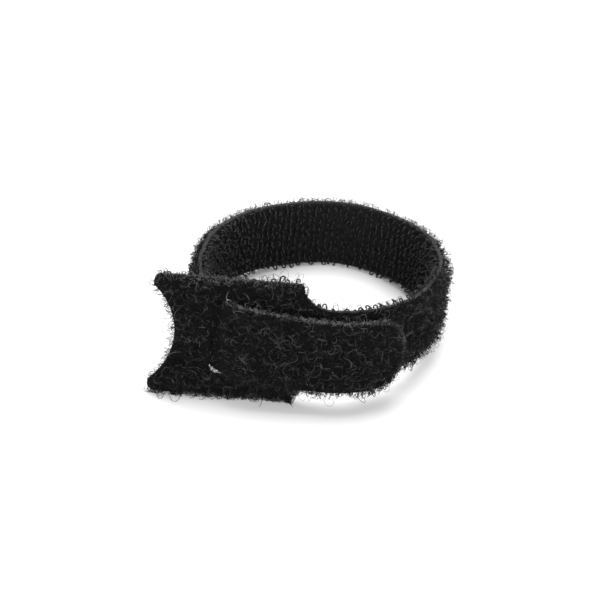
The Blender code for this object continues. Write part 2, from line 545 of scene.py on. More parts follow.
@dataclass
class TapeLay:
    """How the tape lies: its route seen from above, on edge, tipped back onto its resting facet."""

    ring_width: float = 40 * MM
    ring_depth: float = 50 * MM
    slot_place: tuple = (-0.3125, -0.356)
    neck_place: tuple = (0.105, -0.356)
    ring_places: tuple = (
        (0.3625, -0.266), (0.5250, -0.076), (0.5900, 0.140), (0.5125, 0.396), (0.2200, 0.548),
        (-0.1300, 0.444), (-0.3300, 0.240), (-0.4075, 0.004), (-0.4025, -0.188),
    )
    slot_from_end: float = 10.8 * MM
    layer_pitch: float = 2.3 * MM
    threading_angle: float = math.radians(50)
    tail_length: float = 30 * MM
    step: float = 0.25 * MM
    tilt: float = 0.0927676
    shift: tuple = (-0.00067637, -0.00365385, 0.00834053)
    points: Array = field(init=False)
    distances: Array = field(init=False)
    outwards: Array = field(init=False)

    def __post_init__(self) -> None:
        """Works out the route's points, their distances along it and its outward normals."""
        first_turn = self.straight(self.head_end, self.knot(self.neck_place)) + self.ring_curve()
        under = np.array([*first_turn, self.knot(self.slot_place)])
        bend, laid_down = self.threading_bend()
        start = [*first_turn, *bend, laid_down]
        self.read(under)
        full = self.distances[-1] + self.tail_length
        along, tail = laid_down[0] - self.head_end[0], []
        while self.run([*start, *tail]) < full:
            spot, outward = self.plan(np.array([along]))
            tail.append(tuple(spot[0] + outward[0] * self.layer_pitch))
            along += self.step
        self.read(np.array(start[:-1] + tail))

    def read(self, points: Array) -> None:
        """Takes these points as the route.

        Args:
            points: The plan's points in order.
        """
        self.points = points
        steps = np.linalg.norm(np.diff(points, axis=0), axis=1)
        self.distances = np.concatenate([[0.0], np.cumsum(steps)])
        ways = np.gradient(points, axis=0)
        ways /= np.linalg.norm(ways, axis=1)[:, None]
        self.outwards = np.stack([ways[:, 1], -ways[:, 0]], 1)

    @staticmethod
    def run(points: list[tuple]) -> float:
        """The length of the way through points."""
        return float(np.linalg.norm(np.diff(np.array(points), axis=0), axis=1).sum())

    def knot(self, place: tuple) -> tuple:
        """The point at these shares of the ring's width and depth."""
        return place[0] * self.ring_width, place[1] * self.ring_depth

    @property
    def head_end(self) -> tuple:
        """Where the route starts."""
        slot = self.knot(self.slot_place)
        return slot[0] - self.slot_from_end, slot[1]

    @property
    def length(self) -> float:
        """The tape's length."""
        return float(self.distances[-1])

    def straight(self, start: tuple, end: tuple) -> list[tuple]:
        """Points on the straight line from start to end, without the end."""
        count = max(1, round(math.dist(start, end) / self.step))
        return [tuple(a + (b - a) * i / count for a, b in zip(start, end)) for i in range(count)]

    def ring_curve(self) -> list[tuple]:
        """Bezier stretches from the neck round to the slot, each handle a third of its stretch.

        Returns:
            Their points, without the last.
        """
        places = (self.neck_place, *self.ring_places, self.slot_place)
        knots = [Vector(self.knot(place)) for place in places]
        ways = [Vector((1, 0))]
        ways += [(b - a).normalized() for a, b in zip(knots, knots[2:])]
        ways.append(Vector((math.cos(self.threading_angle), -math.sin(self.threading_angle))))
        points = []
        for i, (start, end) in enumerate(zip(knots, knots[1:])):
            reach = (end - start).length / 3
            corners = (start, start + ways[i] * reach, end - ways[i + 1] * reach, end)
            count = max(4, round(3 * reach / self.step))
            stretch = interpolate_bezier(*[c.to_3d() for c in corners], count + 1)
            points += [tuple(point.to_2d()) for point in stretch[:-1]]
        return points

    def threading_bend(self) -> tuple[list[tuple], tuple]:
        """The bend that lays the strap down on the head, one layer out from it.

        Returns:
            The bend's points, and the point where it ends.
        """
        angle = self.threading_angle
        radius = self.layer_pitch / (1 - math.cos(angle))
        slot = self.knot(self.slot_place)
        lowest = (slot[0] + math.sin(angle) * radius, slot[1] - self.layer_pitch)
        count = max(4, round(radius * angle / self.step))
        angles = [angle * (1 - i / count) for i in range(count)]
        x, y = lowest[0], lowest[1] + radius
        return [(x - radius * math.sin(a), y - radius * math.cos(a)) for a in angles], lowest

    def plan(self, along: Array) -> tuple[Array, Array]:
        """The route in plan.

        Args:
            along: Distances along it.

        Returns:
            The points there, and the outward normals.
        """
        spots = [np.interp(along, self.distances, self.points[:, i]) for i in (0, 1)]
        out = [np.interp(along, self.distances, self.outwards[:, i]) for i in (0, 1)]
        return np.stack(spots, -1), np.stack(out, -1)

    def place(
        self, cut: TapeCut, along: Array, across: Array, out: Array, lowest: float = -math.inf
    ) -> Array:
        """Where a point of the flat tape comes to lie.

        Args:
            cut: The tape.
            along: Distances along it.
            across: Distances across it, upwards.
            out: Distances out from the ground's middle, towards the pile.
            lowest: The height that no point goes below.

        Returns:
            The points.
        """
        along, across, out = np.broadcast_arrays(along, across, out)
        past = along - np.clip(along, 0, self.length)
        spot, outward = self.plan(along)
        ahead = np.stack([-outward[..., 1], outward[..., 0]], -1)
        x, y = np.moveaxis(spot + outward * out[..., None] + ahead * past[..., None], -1, 0)
        z = across + cut.rise(along)
        c, k = math.cos(self.tilt), math.sin(self.tilt)
        placed = np.stack([x, c * y + k * z, c * z - k * y], -1) + np.array(self.shift)
        placed[..., 2] = np.maximum(placed[..., 2], lowest)
        return placed


# Mesh helpers


def deselect_all() -> None:
    """Leaves nothing selected, so that an operator acts on the new piece alone."""
    bpy.ops.object.select_all(action="DESELECT")


@contextmanager
def editing() -> Iterator[None]:
    """Edits the active mesh from all selected, and leaves its faces turned outwards."""
    bpy.ops.object.mode_set(mode="EDIT")
    bpy.ops.mesh.select_all(action="SELECT")
    yield
    bpy.ops.mesh.select_all(action="SELECT")
    bpy.ops.mesh.normals_make_consistent(inside=False)
    bpy.ops.object.mode_set(mode="OBJECT")


def apply_modifier(obj: Object, kind: str, **settings: object) -> None:
    """Adds a modifier and applies it.

    Args:
        obj: The piece.
        kind: The modifier's type.
        settings: Its properties.
    """
    deselect_all()
    obj.select_set(True)
    bpy.context.view_layer.objects.active = obj
    modifier = obj.modifiers.new(kind.title(), kind)
    for name, value in settings.items():
        setattr(modifier, name, value)
    bpy.ops.object.modifier_apply(modifier=modifier.name)


def points_of(mesh: Mesh) -> Array:
    """The mesh's points.

    Args:
        mesh: The mesh.

    Returns:
        The points, one in a row.
    """
    found = np.empty(len(mesh.vertices) * 3, np.float32)
    mesh.vertices.foreach_get("co", found)
    return found.reshape(-1, 3).astype(np.float64)


def move_points(mesh: Mesh, points: Array) -> None:
    """Moves the mesh's points to these places."""
    mesh.vertices.foreach_set("co", points.astype(np.float32).ravel())
    mesh.update()


def set_map(mesh: Mesh, name: str, numbers: Array) -> None:
    """Adds a map.

    Args:
        mesh: The mesh.
        name: The map's name.
        numbers: The two numbers that it holds for each point.
    """
    corner = np.empty(len(mesh.loops), np.int32)
    mesh.loops.foreach_get("vertex_index", corner)
    layer = mesh.uv_layers.new(name=name)
    layer.uv.foreach_set("vector", numbers[corner].astype(np.float32).ravel())


def linked(data: bpy.types.ID) -> Object:
    """An object for the data, in the scene.

    Args:
        data: A mesh, a lamp or a camera.

    Returns:
        The object.
    """
    obj = bpy.data.objects.new(data.name, data)
    bpy.context.scene.collection.objects.link(obj)
    return obj


def copies(name: str, points: Array, faces: list, own: Array, share: Array) -> Object:
    """A smooth piece of many fibres that have the same faces, with the map that finishes read.

    Args:
        name: Its name.
        points: The points of each fibre.
        faces: The faces of one fibre, by the numbers of its points.
        own: Each fibre's own number, for its tone.
        share: The share along the fibre of each point of one.

    Returns:
        The piece, without a finish.
    """
    count, per = points.shape[:2]
    sizes = np.tile([len(face) for face in faces], count)
    corners = np.concatenate(faces)[None] + np.arange(count)[:, None] * per
    starts = np.concatenate([[0], np.cumsum(sizes)[:-1]])
    mesh = bpy.data.meshes.new(name)
    mesh.vertices.add(count * per)
    mesh.vertices.foreach_set("co", points.astype(np.float32).ravel())
    mesh.loops.add(corners.size)
    mesh.loops.foreach_set("vertex_index", corners.ravel().astype(np.int32))
    mesh.polygons.add(len(sizes))
    mesh.polygons.foreach_set("loop_start", starts.astype(np.int32))
    mesh.polygons.foreach_set("use_smooth", np.ones(len(sizes), bool))
    mesh.update(calc_edges=True)
    set_map(mesh, "fibre", np.stack([np.repeat(own, per), np.tile(share, count)], 1))
    return linked(mesh)


def rooted(obj: Object, material: bpy.types.Material) -> Object:
    """Dresses a piece of the tape and ties it to the frame.

    Args:
        obj: The piece.
        material: Its finish.

    Returns:
        The piece.
    """
    obj.data.materials.clear()
    obj.data.materials.append(material)
    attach(obj, "root")
    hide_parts("strap")
    return obj


# The woven ground


@dataclass
class Ground:
    """The woven ground with the pile's matted bed on its outer face, cut and laid on the route."""

    cut: TapeCut
    lay: TapeLay
    column: float = 0.3125 * MM
    closest_columns: float = 0.14 * MM
    rows: int = 26
    edge_rows: tuple = (0.0, 0.12, 0.35, 0.75, 1.3)
    layers: tuple = (-0.30, -0.10, 0.10, 0.30)
    cutter_height: float = 6 * MM
    lump: float = 0.10 * MM
    lump_scales: tuple = (1400, 3300)
    rib: float = 0.07 * MM
    rib_pitch: float = 1.25 * MM
    selvedge: float = 0.05 * MM
    selvedge_pitch: float = 0.62 * MM
    turned_in: float = 0.10 * MM
    edge_band: float = 0.45 * MM

    def stations(self) -> Array:
        """Where the columns of faces stand along the tape, closer where the outline turns.

        Returns:
            The places along the tape in order.
        """
        cut = self.cut
        turn = np.linspace(0, math.pi / 2, 9)
        chosen = [cut.head_corner * (1 - np.cos(turn))]
        chosen.append(cut.head_length + cut.shoulder * (1 - np.cos(turn)))
        chosen.append(cut.tip_centre + cut.strap_half * np.sin(turn[:-1]))
        chosen.append([cut.length - 0.004 * MM])
        fixed = np.concatenate(chosen)
        plain = np.arange(1, int(cut.length / self.column)) * self.column
        apart = np.abs(plain[:, None] - fixed[None]).min(1)
        return np.sort(np.concatenate([fixed, plain[apart > self.closest_columns]]))

    def row_shares(self) -> Array:
        """Where the rows stand across the strap, closer at the edges.

        Returns:
            The places in shares of the strap's half width.
        """
        edge = np.array(self.edge_rows) * MM / self.cut.strap_half - 1
        middle = np.linspace(edge[-1], -edge[-1], self.rows - 2 * len(edge) + 2)
        return np.concatenate([edge, middle[1:-1], -edge[::-1]])

    def blank(self) -> Object:
        """The tape's slab: a grid whose columns follow the outline, raised in three layers.

        Returns:
            The slab, laid flat: X along, Y across, Z out towards the pile.
        """
        stations, shares = self.stations(), self.row_shares()
        columns, rows = len(stations) - 1, len(shares) - 1
        deselect_all()
        bpy.ops.mesh.primitive_grid_add(x_subdivisions=columns, y_subdivisions=rows, size=1.0)
        slab = bpy.context.object
        slab.name = slab.data.name = "woven_ground"
        grid = points_of(slab.data)
        along = stations[np.rint((grid[:, 0] + 0.5) * columns).astype(int)]
        share = shares[np.rint((grid[:, 1] + 0.5) * rows).astype(int)]
        grid[:, 0] = along
        grid[:, 1] = share * self.cut.half_width(along)
        grid[:, 2] = self.layers[0] * MM
        move_points(slab.data, grid)
        with editing():
            for low, high in zip(self.layers, self.layers[1:]):
                up = (0, 0, (high - low) * MM)
                bpy.ops.mesh.extrude_region_move(TRANSFORM_OT_translate={"value": up})
        return slab

    def slot_cutter(self) -> Object:
        """A block with rounded corners, as long and high as the slot.

        Returns:
            The block.
        """
        cut = self.cut
        deselect_all()
        middle = ((cut.slot_start + cut.slot_end) / 2, cut.slot_middle, 0)
        size = (cut.slot_end - cut.slot_start, 2 * cut.slot_half, self.cutter_height)
        bpy.ops.mesh.primitive_cube_add(size=1.0, location=middle, scale=size)
        cutter = bpy.context.object
        bpy.ops.object.transform_apply(location=True, rotation=True, scale=True)
        cutter.data.attributes.new("bevel_weight_edge", "FLOAT", "EDGE")
        weights = cutter.data.attributes["bevel_weight_edge"].data
        for edge in cutter.data.edges:
            a, b = (cutter.data.vertices[i].co for i in edge.vertices)
            weights[edge.index].value = float(abs(a.z - b.z) > self.cutter_height / 2)
        settings = {"segments": 8, "limit_method": "WEIGHT"}
        apply_modifier(cutter, "BEVEL", width=cut.slot_corner, **settings)
        return cutter

    def notch_cutter(self) -> Object:
        """A drum that hollows the head's end.

        Returns:
            The drum.
        """
        deselect_all()
        bpy.ops.mesh.primitive_cylinder_add(
            vertices=160,
            radius=self.cut.notch_radius,
            depth=self.cutter_height,
            location=(self.cut.notch_centre, 0, 0),
        )
        bpy.ops.object.transform_apply(location=True)
        return bpy.context.object

    def relieved(self, flat: Array) -> Array:
        """Gives the slab its relief.

        Args:
            flat: The slab's points, laid flat.

        Returns:
            The points, with hook ribs inside, a lumpy bed of pile outside and turned-in edges.
        """
        along, across, out = flat.T.copy()
        room = np.clip(self.cut.edge_room(along, across), 0, None)
        bed = self.cut.bed(along, across) - self.cut.ground_half
        wide, fine = self.lump_scales
        lumps = np.array([
            noise.noise((a * wide, c * wide, 0.0)) + 0.6 * noise.noise((a * fine, c * fine, 7.0))
            for a, c in zip(along, across)
        ])
        inner = out < (self.layers[0] + 0.02) * MM
        outer = out > (self.layers[-1] - 0.02) * MM
        ribs = self.rib * (0.5 + 0.5 * np.cos(TURN * along / self.rib_pitch))
        out = out - inner * (ribs * np.clip(room / (0.5 * MM), 0, 1))
        out = out + outer * (bed + self.lump * lumps * np.clip(room / (0.4 * MM), 0.2, 1))
        rim = np.abs(across) > self.cut.half_width(along) - 0.01 * MM
        wave = np.sin(TURN * along / self.selvedge_pitch + np.where(out > 0, 1.6, 0.0))
        pull = self.selvedge * wave - self.turned_in * (inner | outer)
        across = across + np.sign(across) * rim * pull
        return np.stack([along, across, out], 1)

    def build(self, ground: bpy.types.Material, bed: bpy.types.Material) -> Object:
        """Builds the ground and dresses it.

        Args:
            ground: The woven ground's finish.
            bed: The finish of the matted bottom of the pile.

        Returns:
            The piece.
        """
        slab = self.blank()
        settings = {"operation": "DIFFERENCE", "solver": "EXACT"}
        for cutter in (self.slot_cutter(), self.notch_cutter()):
            apply_modifier(slab, "BOOLEAN", object=cutter, **settings)
            bpy.data.objects.remove(cutter)
        mesh, flat = slab.data, points_of(slab.data)
        self.map_lay(mesh, flat)
        self.mark_edges(mesh, flat)
        move_points(mesh, self.lay.place(self.cut, *self.relieved(flat).T))
        rooted(slab, ground)
        mesh.materials.append(bed)
        middles = np.array([flat[list(face.vertices)].mean(0) for face in mesh.polygons])
        on_bed = middles[:, 2] > (self.layers[-1] - 0.03) * MM
        mesh.polygons.foreach_set("material_index", on_bed.astype(np.int32))
        mesh.polygons.foreach_set("use_smooth", np.ones(len(middles), bool))
        mesh.update()
        return slab

    def map_lay(self, mesh: Mesh, flat: Array) -> None:
        """Maps the place on the tape in millimetres, with the depth mixed in at the rim.

        Args:
            mesh: The slab.
            flat: Its points, laid flat.
        """
        for layer in list(mesh.uv_layers):
            mesh.uv_layers.remove(layer)
        set_map(mesh, "tape_lay", np.stack([flat[:, 0], flat[:, 1] + flat[:, 2]], 1) / MM)

    def mark_edges(self, mesh: Mesh, flat: Array) -> None:
        """Marks how near each point is to a cut or woven edge.

        Args:
            mesh: The slab.
            flat: Its points, laid flat.
        """
        room = self.cut.edge_room(flat[:, 0], flat[:, 1])
        near = 1 - np.clip(room / self.edge_band, 0, 1)
        mark = mesh.attributes.new("edge_band", "FLOAT", "POINT")
        mark.data.foreach_set("value", near.astype(np.float32))


# Hooks


@dataclass
class HookField:
    """Rows of filament hooks on the inner face, each row staggered against the next."""

    cut: TapeCut
    lay: TapeLay
    seed: int = 31
    filament: float = 0.130 * MM
    stem: float = 0.64 * MM
    arch: float = 0.33 * MM
    turn: float = math.radians(225)
    sides: int = 5
    steps: int = 6
    pitch: float = 1.25 * MM
    across_pitch: float = 0.80 * MM
    jitter: float = 0.05 * MM
    edge_room: float = 0.02 * MM
    cut_room: float = 0.75 * MM
    sunk: float = 0.08 * MM
    clearance: float = 0.01 * MM

    def blank(self) -> tuple[Array, list[tuple[int, ...]], Array]:
        """Models one hook: a filament drawn up, then spun over into an arch.

        Returns:
            Its points with Z up from the ground, its faces, and each point's share along it.
        """
        deselect_all()
        bpy.ops.mesh.primitive_circle_add(
            vertices=self.sides, radius=self.filament, fill_type="NGON"
        )
        hook = bpy.context.object
        up, centre = (0, 0, self.stem), (self.arch, 0, self.stem)
        with editing():
            bpy.ops.mesh.extrude_region_move(TRANSFORM_OT_translate={"value": up})
            bpy.ops.mesh.spin(steps=self.steps, angle=-self.turn, center=centre, axis=(0, 1, 0))
            bpy.ops.mesh.select_all(action="SELECT")
            bpy.ops.mesh.remove_doubles(threshold=0.001 * MM)
        points = points_of(hook.data)
        # The tape's frame is left-handed towards the inside, so each face is turned round.
        faces = [tuple(face.vertices)[::-1] for face in hook.data.polygons]
        bpy.data.objects.remove(hook)
        height = points[:, 2]
        angle = np.arctan2(height - self.stem, self.arch - points[:, 0])
        angle = np.where(angle < -1.4, angle + TURN, angle)
        angle = np.where(height < self.stem * 0.5, 0.0, angle)
        on_stem = np.clip(height, 0, self.stem) * (angle <= 0.05)
        run = np.where(angle > 0.05, self.stem + np.clip(angle, 0, None) * self.arch, on_stem)
        return points, faces, np.clip(run / (self.stem + self.turn * self.arch), 0, 1)

    def spots(self, draw: np.random.Generator) -> Array:
        """Where hooks stand.

        Args:
            draw: The random numbers.

        Returns:
            The places along and across the tape.
        """
        found = []
        for row in range(1, int(self.cut.length / self.pitch)):
            offset = (row % 2) * self.across_pitch / 2
            ranks = np.arange(-13, 14) * self.across_pitch + offset
            found += [(row * self.pitch, across) for across in ranks]
        spots = np.array(found)
        spots += draw.normal(0, 1, spots.shape) * self.jitter
        room = self.cut.edge_room(*spots.T)
        from_cuts = self.cut.cut_room(*spots.T)
        return spots[(room > self.edge_room) & (from_cuts > self.cut_room)]

    def build(self, material: bpy.types.Material) -> Object:
        """Sets a copy of the hook at each spot.

        Args:
            material: The filament's finish.

        Returns:
            The piece.
        """
        draw = np.random.default_rng(self.seed)
        points, faces, share = self.blank()
        spots = self.spots(draw)
        count = len(spots)
        side = spots[:, 1] / self.cut.half_width(spots[:, 0])
        near_edge = np.clip((np.abs(side) - 0.80) / 0.14, 0, 1)
        heading = np.where(draw.random(count) < 0.5, 0.0, math.pi) + draw.normal(0, 0.45, count)
        heading = heading + np.where(near_edge > 0.9, 0.0, math.pi / 2)
        near_edge = np.where(side < 0, -near_edge, 0.6 * near_edge)
        lean_across = draw.normal(0, 0.16, count) + near_edge * draw.uniform(0.2, 0.95, count)
        lean_along = draw.normal(0, 0.14, count)
        scale = draw.uniform(0.82, 1.08, count)[:, None]
        x, y, z = points.T
        c, s = np.cos(heading)[:, None], np.sin(heading)[:, None]
        along, across = c * x - s * y, s * x + c * y
        along, height = self.leaned(along, np.broadcast_to(z, along.shape), lean_along)
        across, height = self.leaned(across, height, lean_across)
        placed = self.lay.place(
            self.cut,
            spots[:, :1] + along * scale,
            spots[:, 1:] + across * scale,
            -(self.cut.ground_half - self.sunk + height * scale),
            self.clearance,
        )
        hooks = copies("filament_hooks", placed, faces, draw.random(count), share)
        return rooted(hooks, material)

    @staticmethod
    def leaned(side: Array, height: Array, lean: Array) -> tuple[Array, Array]:
        """Leans each hook over from its root, by its angle, in the direction of side."""
        c, s = np.cos(lean)[:, None], np.sin(lean)[:, None]
        return side * c + height * s, height * c - side * s


# The pile


@dataclass(frozen=True)
class Habit:
    """The ranges a fibre's shape is drawn from. Lengths in millimetres, angles in radians."""

    radius: tuple
    turn: tuple
    tilt: tuple
    drift: tuple
    height: tuple
    wobble: float
    thickness: tuple
    # Where on the fibre's tone ramp a kind is painted; the ramp's light end is a painted highlight.
    tones: tuple = (0.0, 1.0)


class Growth(Enum):
    """How a fibre grows."""

    CURL = Habit(
        (0.20, 0.60), (2.4, 6.2), (0.1, 0.7), (0.1, 1.2), (0.15, 0.75), 0.10,
        (0.019, 0.030), (0.0, 0.93),
    )
    LOOP = Habit(
        (0.24, 0.50), (4.6, 6.2), (0.7, 1.5), (0.0, 0.4), (0.00, 0.30), 0.08,
        (0.036, 0.052), (0.0, 0.80),
    )
    # Strands lying on top of the pile are painted towards the light end: painted highlight.
    STRAND = Habit(
        (0.40, 1.05), (1.8, 5.2), (0.0, 0.35), (0.0, 0.8), (0.5, 1.0), 0.10,
        (0.020, 0.029), (0.60, 1.0),
    )
    # Tones near and past 1 paint these rim fibres light: a painted highlight along the edges,
    # mostly the upper one.
    HIGHLIGHT_SELVEDGE = Habit(
        (0.06, 0.16), (2.2, 5.5), (0.0, 1.2), (0.1, 0.6), (0.02, 0.10), 0.04,
        (0.022, 0.034), (0.90, 1.4),
    )
    # Tones past 1 paint every fibre at the ramp's lightest tone: a painted highlight on the rims.
    HIGHLIGHT_CREST = Habit(
        (0.08, 0.22), (2.4, 6.0), (0.0, 1.3), (0.1, 0.6), (0.08, 0.30), 0.05,
        (0.024, 0.034), (1.15, 1.8),
    )
    FUZZ = Habit(
        (0.20, 0.48), (3.6, 6.0), (0.3, 1.5), (0.1, 0.6), (0.05, 0.55), 0.09,
        (0.031, 0.046), (0.0, 0.72),
    )
    HAIR = Habit(
        (0.35, 0.95), (2.0, 4.6), (0.2, 1.3), (0.2, 1.2), (0.20, 0.75), 0.14,
        (0.025, 0.034),
    )


FIBRE_CLEARANCE = 0.05 * MM


@dataclass(frozen=True)
class Stray:
    """One long loose fibre, drawn as an arc from its root. Millimetres and radians.

    The arc stands in the tape's face, or lies out from it on what the tie rests on.
    """

    along: float
    across: float
    radius: float
    start: float
    turn: float
    stretch: float = 1.0
    lies_out: bool = False
    height: float = 0.85
    tone: float = 0.45

    def path(self, cut: TapeCut, lay: TapeLay, sections: int) -> Array:
        """The fibre's centre line.

        Args:
            cut: The tape.
            lay: Its route.
            sections: How many stretches the line has.

        Returns:
            Its points.
        """
        angle = self.start + self.turn * np.linspace(0, 1, sections + 1)
        along = self.along + self.radius * (np.cos(angle) - math.cos(self.start))
        off = self.radius * self.stretch * (np.sin(angle) - math.sin(self.start))
        across = self.across + off * (not self.lies_out)
        out = self.height + off * self.lies_out
        return lay.place(cut, along * MM, across * MM, out * MM, FIBRE_CLEARANCE)


STRAYS = (
    Stray(114.2, 5.9, 0.95, math.pi, -3.4),
    Stray(108.6, 5.9, 0.55, 2.6, -3.9),
    Stray(1.6, -9.9, 0.62, 2.9, -3.9, 4.2, lies_out=True),
    Stray(3.6, -9.9, 0.85, math.pi, -4.2, 3.0, lies_out=True),
    Stray(6.6, -9.9, 0.55, 2.7, -3.3, 3.4, lies_out=True),
    Stray(176.2, -3.4, 1.10, 2.2, -2.9, lies_out=True),
    Stray(170.6, -5.9, 0.55, 2.9, -2.7, 6.5, lies_out=True),
    Stray(163.5, -5.9, 0.60, 2.6, -3.2, 2.0, lies_out=True),
    Stray(17.9, -9.9, 1.30, 0.0, 0.8, 2.4, lies_out=True),
    Stray(22.3, -9.6, 1.20, 3.1, -0.8, 2.4, lies_out=True),
    # Painted at the lightest tone: a painted highlight on a long hair near the head's upper edge.
    Stray(11.3, 8.6, 1.9, 2.5, 1.9, height=1.35, tone=1.3),
    Stray(24.6, 5.9, 0.45, 2.6, -3.6),
)


@dataclass
class Pile:
    """The brushed pile on the outer face: thousands of curly fibres, each its own closed tube."""

    cut: TapeCut
    lay: TapeLay
    seed: int = 77
    density: float = 5.0
    sections: int = 7
    sides: int = 3
    loop_share: float = 0.33
    strand_density: float = 1.1
    fuzz_per_mm: float = 3.8
    selvedge_per_mm: float = 4.8
    highlight_crest_per_mm: float = 11.0
    tip_crowding: float = 2.6
    hairs: int = 340
    notch_fibres: int = 110
    shoulder_fibres: int = 80
    sole_fibres: int = 120
    slot_fibres: int = 120
    stray_thickness: float = 0.042 * MM
    threading_gap: float = 0.5 * MM
    threading_reach: float = 1.6 * MM
    pressed_depth: float = 1.0 * MM
    hidden_depth: float = 1.8 * MM
    rim_inset: float = 0.08 * MM
    edge_fan: float = 1.1 * MM
    tip_fan: float = 1.0 * MM
    notch_fan: float = 0.6 * MM
    fluff: tuple = (
        (0, 1.15), (24, 1.15), (46, 1.25), (56, 1.75), (64, 1.60), (71, 1.05), (80, 0.80),
        (92, 0.66), (110, 0.74), (119, 1.05), (134, 1.10), (149, 0.9), (156, 1.0), (180, 1.1),
    )
    parts: tuple = (
        ("pile_head", 0.0, 24.0),
        ("pile_front", 24.0, 58.0),
        ("pile_right", 58.0, 84.0),
        ("pile_back", 84.0, 114.0),
        ("pile_left", 114.0, 149.0),
        ("pile_tail", 149.0, 190.0),
    )
    draw: np.random.Generator = field(init=False)

    def __post_init__(self) -> None:
        """Starts the random numbers."""
        self.draw = np.random.default_rng(self.seed)

    def headroom(self, along: Array, across: Array) -> Array:
        """How freely the pile stands, from 0 where another layer presses on it to 1.

        Args:
            along: Places along the tape.
            across: Places across it.

        Returns:
            The share of its free height.
        """
        cut = self.cut
        from_slot = np.abs(along - cut.slot_distance)
        threaded = np.clip((from_slot - self.threading_gap) / self.threading_reach, 0.22, 1)
        tail_start = self.lay.slot_from_end + self.threading_gap
        tail_end = self.lay.slot_from_end + cut.tail + self.threading_gap
        over = np.clip(along - tail_start, 0, cut.tail)
        middle = cut.rise(cut.slot_distance + over)
        inside = cut.strap_half - np.abs(across - middle)
        end_room = tail_end - along
        under = (along > tail_start) & (end_room > 0)
        depth = np.clip(np.minimum(inside, end_room) / self.pressed_depth, 0, 1)
        pressed = np.where(under, 1 - 0.75 * depth, 1.0)
        hidden = under & (inside > self.hidden_depth) & (end_room > self.hidden_depth)
        return np.where(hidden, 0.0, np.minimum(threaded, pressed))

    def brushed(self, along: Array) -> Array:
        """How high the pile was brushed up here, as a share of its usual height."""
        marks = np.array(self.fluff)
        return np.interp(along / MM, marks[:, 0], marks[:, 1])

    def face_spots(self, density: float) -> Array:
        """Where fibres are rooted on the outer face.

        Args:
            density: How many grow on a square millimetre.

        Returns:
            The places along and across the tape.
        """
        cut = self.cut
        count = int(density * cut.length * 2 * cut.head_half / MM**2)
        along = self.draw.uniform(0, cut.length, count)
        across = self.draw.uniform(-cut.head_half, cut.head_half, count)
        keep = (cut.edge_room(along, across) > 0.12 * MM) & (self.headroom(along, across) > 0)
        return np.stack([along[keep], across[keep]], 1)

    def rim_spots(self, count: int, low_share: float) -> Array:
        """Places close to the two long edges and the tip, for edge fuzz and hairs.

        Args:
            count: How many.
            low_share: The share of them on the lower edge.

        Returns:
            The places along and across the tape.
        """
        cut, draw, tries = self.cut, self.draw, count * 2
        along = draw.uniform(0.3 * MM, cut.length, tries)
        tip = draw.random(tries) < 0.08
        angle = draw.uniform(-math.pi / 2, math.pi / 2, tries)
        inset = draw.uniform(0.05, 0.35, tries) * MM
        side = np.where(draw.random(tries) < low_share, -1.0, 1.0)
        across = side * (cut.half_width(along) - inset)
        along = np.where(tip, cut.tip_centre + (cut.strap_half - inset) * np.cos(angle), along)
        across = np.where(tip, (cut.strap_half - inset) * np.sin(angle), across)
        keep = (cut.edge_room(along, across) > 0) & (self.headroom(along, across) > 0)
        return np.stack([along[keep], across[keep]], 1)[:count]

    def slot_spots(self) -> Array:
        """Places round the two ends of the slot, for the loose fibres that cross it.

        Returns:
            The places along and across the tape.
        """
        cut, draw, count = self.cut, self.draw, self.slot_fibres
        along = draw.uniform(cut.slot_start - 0.2 * MM, cut.slot_end, count)
        end = np.where(draw.random(count) < 0.6, -1.0, 1.0)
        inset = draw.uniform(-0.25, 0.8, count) * MM
        return np.stack([along, cut.slot_middle + end * (cut.slot_half - inset)], 1)

    def notch_spots(self) -> Array:
        """Places along the head's hollowed end, for the few fibres that stand out of it.

        Returns:
            The places along and across the tape.
        """
        cut, draw, count = self.cut, self.draw, self.notch_fibres
        reach = math.asin(cut.head_half / cut.notch_radius)
        angle = draw.uniform(-reach, reach, count) * 0.97
        out = cut.notch_radius + draw.uniform(0.02, 0.25, count) * MM
        return np.stack([cut.notch_centre + out * np.cos(angle), out * np.sin(angle)], 1)

    def highlight_crest_spots(self) -> Array:
        """Places along the upper edges of head and tail and round the tip, where fibres tangle and
        are painted light: a painted highlight on these rims.

        Returns:
            The places along and across the tape.
        """
        cut, draw = self.cut, self.draw
        to_bend = cut.head_length + cut.tip_centre - cut.slot_distance
        crowded = cut.strap_half * self.tip_crowding
        total = to_bend + crowded * 0.8 * math.pi
        count = int(self.highlight_crest_per_mm * total / MM)
        run, inset = draw.uniform(0, total, count), draw.uniform(-0.05, 0.30, count) * MM
        on_head = run < cut.head_length
        inset = np.where(on_head, inset * 2.8, inset)
        straight = np.where(on_head, run, cut.slot_distance + run - cut.head_length)
        straight = np.clip(straight, 0.3 * MM, cut.tip_centre)
        angle = math.pi / 2 - np.clip(run - to_bend, 0, None) / crowded
        at_tip, reach = run > to_bend, cut.strap_half - inset
        along = np.where(at_tip, cut.tip_centre + reach * np.cos(angle), straight)
        across = np.where(at_tip, reach * np.sin(angle), cut.half_width(straight) - inset)
        return np.stack([along, across], 1)

    def sole_spots(self) -> Array:
        """Places along the head's lower edge, for fibres painted at the lightest tone, a painted
        highlight that shows against the shadow.

        Returns:
            The places along and across the tape.
        """
        cut, draw, count = self.cut, self.draw, self.sole_fibres
        along = draw.uniform(0.25 * cut.head_length, cut.head_length, count)
        inset = draw.uniform(-0.05, 0.45, count) * MM
        return np.stack([along, inset - cut.half_width(along)], 1)

